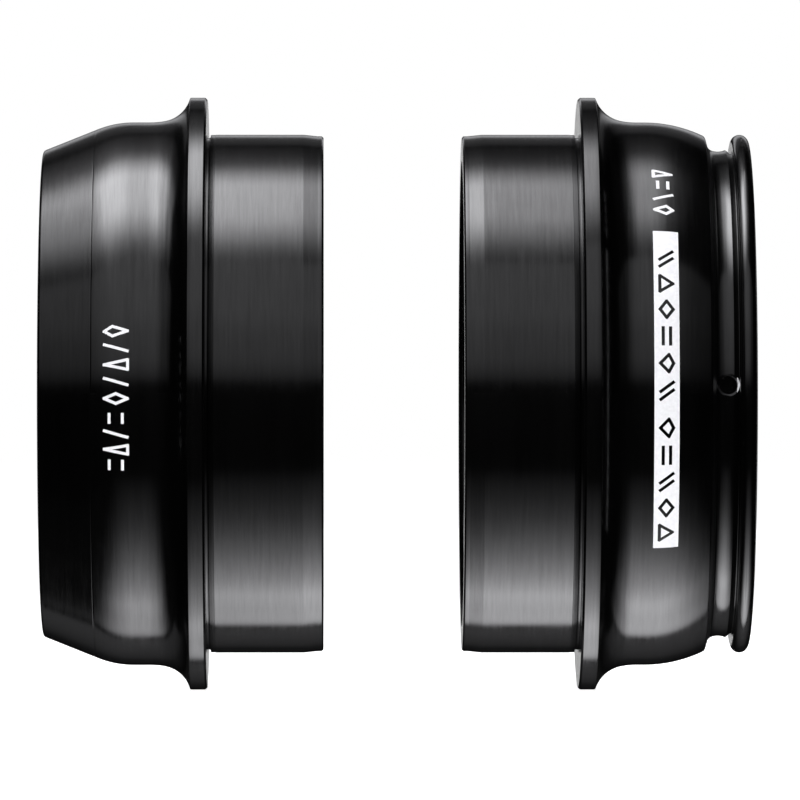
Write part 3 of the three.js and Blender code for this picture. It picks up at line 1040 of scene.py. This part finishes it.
washer = finish_piece(wave_washer(), spring, "left_cup", ["wave_washer"], "spring_steel")
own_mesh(washer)


def clip_path():
    """The wire's centreline in the plane x = 0, from one tip round the groove to the other."""
    first, last = (math.radians(degrees) for degrees in CROSS_HOLE_DEGREES[1:])

    def bend(hole, turn):
        out = round_axis(0, 1, hole)
        along = round_axis(0, 1, hole + turn * math.pi / 2)
        centre = out * (CLIP_ARC_R - CLIP_BEND_R) + along * CLIP_BEND_R
        angles = [math.pi / 2 * k / CLIP_BEND_STEPS for k in range(CLIP_BEND_STEPS + 1)]
        return [centre + (out * math.sin(a) - along * math.cos(a)) * CLIP_BEND_R for a in angles]

    swing = 2 * math.asin(CLIP_BEND_R / CLIP_ARC_R)
    start = first + swing
    span = last - first - 2 * swing
    arc = [round_axis(0, CLIP_ARC_R, start + span * k / CLIP_ARC_STEPS) for k in range(CLIP_ARC_STEPS + 1)]
    return [
        round_axis(0, CLIP_TIP_R, first),
        *bend(first, 1),
        *arc,
        *reversed(bend(last, -1)),
        round_axis(0, CLIP_TIP_R, last),
    ]


def dome(point, outward, radius):
    """Stations of a domed wire end, from the wire outwards. The last one stays a little open."""
    open_share = 0.35
    angles = [math.pi / 2 * k / (WIRE_DOME_STEPS + open_share) for k in range(1, WIRE_DOME_STEPS + 1)]
    return [(point + outward * radius * math.sin(a), radius * math.cos(a)) for a in angles]


def wire(name, path, radius, x):
    """A round wire along a path in the plane at x, with domed ends."""
    last = len(path) - 1
    tangents = [(path[min(i + 1, last)] - path[max(i - 1, 0)]).normalized() for i in range(last + 1)]
    rings = []

    def add_rings(stations, tangent):
        normal = AXIS.cross(tangent)
        for point, size in stations:
            rings.append(circle(x * AXIS + point, normal, AXIS, size, WIRE_SIDES))

    add_rings(reversed(dome(path[0], -tangents[0], radius)), tangents[0])
    for point, tangent in zip(path, tangents):
        add_rings([(point, radius)], tangent)
    add_rings(dome(path[last], tangents[last], radius), tangents[last])
    return lofted(name, rings)


clip = smooth(wire("retaining_wire_clip", clip_path(), WIRE_R, CROSS_HOLE_U))
finish_piece(clip, spring, "right_cup", ["retaining_clip"], "spring_steel")


# --- Light, floor and camera ----------------------------------------------------------------------


def between(stops, at):
    """Straight-line interpolation in a list of (place, value) stops."""
    if at <= stops[0][0]:
        return stops[0][1]
    for (a, low), (b, high) in zip(stops, stops[1:]):
        if at <= b:
            return low + (high - low) * (at - a) / (b - a)
    return stops[-1][1]


def glow_material(name, strength):
    """Light as strong as the mesh's glow attribute says, times strength."""
    material = bpy.data.materials.new(name)
    material.use_nodes = True
    tree = material.node_tree
    tree.nodes.clear()
    glow = tree.nodes.new("ShaderNodeAttribute")
    glow.attribute_name = "glow"
    scale = tree.nodes.new("ShaderNodeMath")
    scale.operation = "MULTIPLY"
    scale.inputs[1].default_value = strength
    emission = tree.nodes.new("ShaderNodeEmission")
    emission.inputs["Color"].default_value = CARD_COLOR
    output = tree.nodes.new("ShaderNodeOutputMaterial")
    tree.links.new(glow.outputs["Fac"], scale.inputs[0])
    tree.links.new(scale.outputs[0], emission.inputs["Strength"])
    tree.links.new(emission.outputs[0], output.inputs["Surface"])
    return material


def glowing_card(name, place, row_stops, column_stops, strength):
    """A card of points place(row, column) whose glow is the product of what the two stops say."""
    vertices, faces, glow = [], [], []
    first_row, last_row = row_stops[0][0], row_stops[-1][0]
    first_column, last_column = column_stops[0][0], column_stops[-1][0]
    for i in range(CARD_ROWS + 1):
        row = first_row + (last_row - first_row) * i / CARD_ROWS
        for k in range(CARD_COLUMNS + 1):
            column = first_column + (last_column - first_column) * k / CARD_COLUMNS
            vertices.append(place(row, column))
            glow.append(between(row_stops, row) * between(column_stops, column))
    for i in range(CARD_ROWS):
        for k in range(CARD_COLUMNS):
            a = i * (CARD_COLUMNS + 1) + k
            faces.append((a, a + 1, a + CARD_COLUMNS + 2, a + CARD_COLUMNS + 1))
    mesh = bpy.data.meshes.new(name)
    mesh.from_pydata([tuple(v) for v in vertices], [], faces)
    mesh.attributes.new("glow", "FLOAT", "POINT").data.foreach_set("value", glow)
    card = link(name, mesh)
    mesh.materials.append(glow_material(name, strength))
    card.visible_camera = False
    return card


def light_card(name, elevations, places, strength):
    """A curved card round the crank axis.

    Its glow follows stops of (degrees above the front, glow) and (x in metres, glow).
    """

    def place(elevation, x):
        return round_axis(x, CARD_R, math.radians(elevation))

    return glowing_card(name, place, elevations, places, strength)


def end_cards():
    """Wide cards beyond both ends of the axis that only the bearings, washer and clip receive.

    Their stops are (z in metres, glow) and (y in metres, glow).
    """
    for side in (LEFT, RIGHT):

        def place(z, y):
            return Vector((side * END_CARD_X, y, z))

        wide = glowing_card(
            f"end_glow_{SIDE_NAMES[side]}",
            place,
            [(-1.4, 0.5), (-0.5, 0.9), (0.0, 0.6), (0.5, 0.9), (1.4, 0.4)],
            [(-1.8, 0.6), (-1.0, 1.0), (0.0, 0.6), (1.0, 1.0), (1.8, 0.6)],
            1.0,
        )
        wide.light_linking.receiver_collection = inner_pieces


def white_plane(name, centre, across, up, strength):
    """A plain white plane. across and up reach from its centre to its edges."""
    corners = [(-1, -1), (1, -1), (1, 1), (-1, 1)]
    vertices = [centre + across * a + up * b for a, b in corners]
    mesh = bpy.data.meshes.new(name)
    mesh.from_pydata([tuple(v) for v in vertices], [], [(0, 1, 2, 3)])
    material = bpy.data.materials.new(name)
    material.use_nodes = True
    shader = material.node_tree.nodes["Principled BSDF"]
    shader.inputs["Base Color"].default_value = WHITE
    shader.inputs["Emission Color"].default_value = WHITE
    shader.inputs["Emission Strength"].default_value = strength
    mesh.materials.append(material)
    card = link(name, mesh)
    return card


def main_lights():
    """A box overhead, a box below and a broad glow in front: they make the cups' bright bands."""
    light_card(
        "overhead_box",
        [(58, 0.12), (62, 0.18), (66, 0.3), (70, 0.52), (75, 0.78), (80, 1.03), (84, 1.1),
         (90, 1.1), (103, 1.0), (110, 0.52), (116, 0.17), (121, 0.06), (130, 0.025), (142, 0)],
        [(-0.3, 0), (-0.25, 0.24), (-0.2, 0.3), (-0.165, 0.6), (-0.145, 0.88), (-0.12, 0.94),
         (-0.07, 0.94), (-0.04, 0.82), (-0.022, 0.7), (-0.01, 0.54), (0.01, 0.37), (0.022, 0.35),
         (0.05, 0.33), (0.066, 0.2), (0.085, 0.05), (0.12, 0.02), (0.16, 0)],
        8.0,
    )
    light_card(
        "front_glow",
        [(2, 0), (4.5, 0.05), (7, 0.35), (14, 0.68), (26, 0.8), (34, 1.0), (58, 1.05)],
        [(-0.4, 0.2), (-0.2, 0.8), (-0.1, 1.0), (0.0, 0.92), (0.03, 0.86), (0.08, 0.75),
         (0.14, 0.4), (0.2, 0.2), (0.4, 0.1)],
        0.74,
    )
    light_card(
        "lower_box",
        [(-123, 0), (-120, 0.58), (-117, 0.66), (-108, 0.76), (-98, 1.04), (-86, 0.67), (-73, 0.36),
         (-63, 0.19), (-55, 0.1), (-46, 0.05), (-32, 0)],
        [(-0.16, 0), (-0.115, 0.11), (-0.08, 0.4), (-0.058, 0.54), (-0.03, 0.66), (-0.02, 0.75),
         (-0.01, 0.88), (0.01, 0.98), (0.06, 1.0), (0.1, 0.8), (0.14, 0.5), (0.18, 0.25),
         (0.24, 0.08), (0.3, 0)],
        4.9,
    )


def front_fill():
    """A soft light from the camera's side that shows on the ink but leaves no reflection."""
    fill = white_plane(
        "front_fill", Vector((0, FILL_Y, 0)), Vector((0.3, 0, 0)), Vector((0, 0, 0.22)), 10.0
    )
    fill.visible_camera = False
    fill.visible_glossy = False


def rear_glows():
    """Two narrow glows behind the object, for the faces that lean away at the top and bottom."""
    light_card(
        "rear_upper_glow",
        [(126, 0.02), (136, 0.06), (144, 0.075), (150, 0.09), (157, 0.1), (159, 0.6), (166, 0.6),
         (168, 0)],
        [(-0.2, 0.1), (-0.12, 0.1), (-0.07, 1), (0.07, 1), (0.12, 0.1), (0.2, 0.1)],
        1.0,
    )
    light_card(
        "rear_lower_glow",
        [(-166, 0), (-158, 0.01), (-152, 0.02), (-138, 0.11), (-126, 0.2)],
        [(-0.2, 1), (0.2, 1)],
        1.0,
    )


def rear_cards():
    """White cards behind the object, which the faces seen nearly edge-on reflect."""
    middle = white_plane(
        "rear_card", Vector((0, REAR_CARD_Y, 0)), Vector((0.35, 0, 0)), Vector((0, 0, 0.06)), 0.5
    )
    middle.visible_camera = False
    for side in (LEFT, RIGHT):
        card = white_plane(
            f"rear_card_{SIDE_NAMES[side]}",
            Vector((side * SIDE_CARD_REACH, SIDE_CARD_REACH, 0)),
            Vector((0.13, -side * 0.13, 0)),
            Vector((0, 0, 0.2)),
            0.3,
        )
        card.visible_camera = False


def floor():
    """A pale floor under the flanges that only the camera sees, as in the photograph."""
    across = Vector((FLOOR_REACH, 0, 0))
    away = Vector((0, FLOOR_REACH, 0))
    ground = white_plane("floor", Vector((0, 0, -FLANGE_R)), across, away, 1.0)
    ground.visible_glossy = False
    ground.visible_diffuse = False
    ground.visible_shadow = False


def white_world():
    """White where the camera looks past the object, and almost dark where the object reflects it."""
    world = bpy.data.worlds.new("studio")
    bpy.context.scene.world = world
    world.use_nodes = True
    tree = world.node_tree
    background = tree.nodes["Background"]
    background.inputs["Color"].default_value = WHITE
    path = tree.nodes.new("ShaderNodeLightPath")
    level = tree.nodes.new("ShaderNodeMapRange")
    level.inputs["To Min"].default_value = WORLD_REFLECTION
    level.inputs["To Max"].default_value = 1.0
    tree.links.new(path.outputs["Is Camera Ray"], level.inputs["Value"])
    tree.links.new(level.outputs["Result"], background.inputs["Strength"])


def camera():
    data = bpy.data.cameras.new("camera")
    data.sensor_width = SENSOR_WIDTH_MM
    data.lens = SENSOR_WIDTH_MM * CAMERA_DISTANCE / VIEW_WIDTH
    data.clip_start = 0.05
    data.clip_end = 20.0
    cam = link("camera", data)
    cam.location = CAMERA_TARGET + Vector((CAMERA_SIDESTEP, -CAMERA_DISTANCE, 0))
    cam.rotation_euler = (CAMERA_TARGET - cam.location).to_track_quat("-Z", "Y").to_euler()
    bpy.context.scene.camera = cam


camera()
main_lights()
rear_glows()
front_fill()
rear_cards()
end_cards()
floor()
white_world()
bpy.context.scene.view_settings.view_transform = "Standard"
